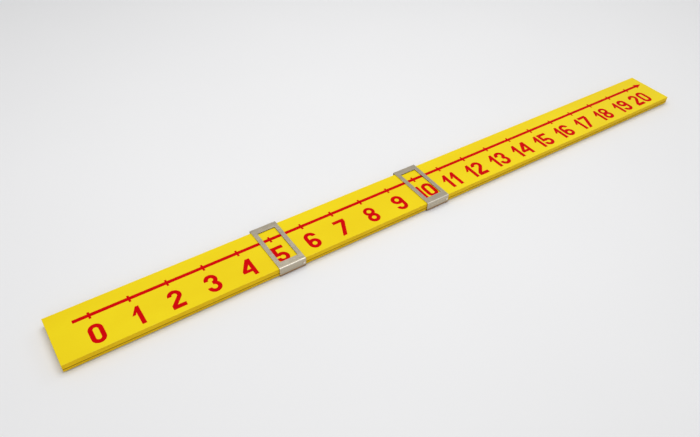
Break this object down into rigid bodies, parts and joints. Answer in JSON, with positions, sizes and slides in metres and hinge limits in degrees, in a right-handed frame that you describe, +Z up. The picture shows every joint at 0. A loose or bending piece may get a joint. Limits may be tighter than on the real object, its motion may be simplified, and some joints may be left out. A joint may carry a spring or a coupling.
{
  "type": "number line slide rule",
  "caption": "Flat classroom number-line rule: a printed two-layer board with sheet-metal window sliders that wrap it and run along it to frame a number.",
  "frame": {"origin": "middle of the bounding box's footprint, on the plane that the sliders' lips stand on", "axes": "+X along the rule towards the arrow end, +Y towards the back edge beside the line, +Z up out of the printed face"},
  "size_m": [1.1, 0.0872, 0.0153],
  "materials": {
    "face_lacquer": "yellow satin lacquer over fibreboard, with a red printed scale",
    "backing_lacquer": "yellow satin lacquer over fibreboard",
    "slider_sheet": "fine brushed, dull",
    "spring_steel": "rolled, slightly dark",
    "rivet_steel": "bright",
    "scale_ink": "red screen-printed ink"
  },
  "bodies": {
    "rule": {"face_board": "face_lacquer", "backing_board": "backing_lacquer"},
    "left_slider": {"left_slider_frame": "slider_sheet", "left_slider_spring": "spring_steel", "left_slider_rivet": "rivet_steel"},
    "right_slider": {"right_slider_frame": "slider_sheet", "right_slider_spring": "spring_steel", "right_slider_rivet": "rivet_steel"}
  },
  "joints": [
    {"name": "left_slider_travel", "type": "slide", "parent": "rule", "child": "left_slider", "axis": [1, 0, 0], "range_m": [-0.284, 0.209]},
    {"name": "right_slider_travel", "type": "slide", "parent": "rule", "child": "right_slider", "axis": [1, 0, 0], "range_m": [-0.209, 0.5265]}
  ]
}
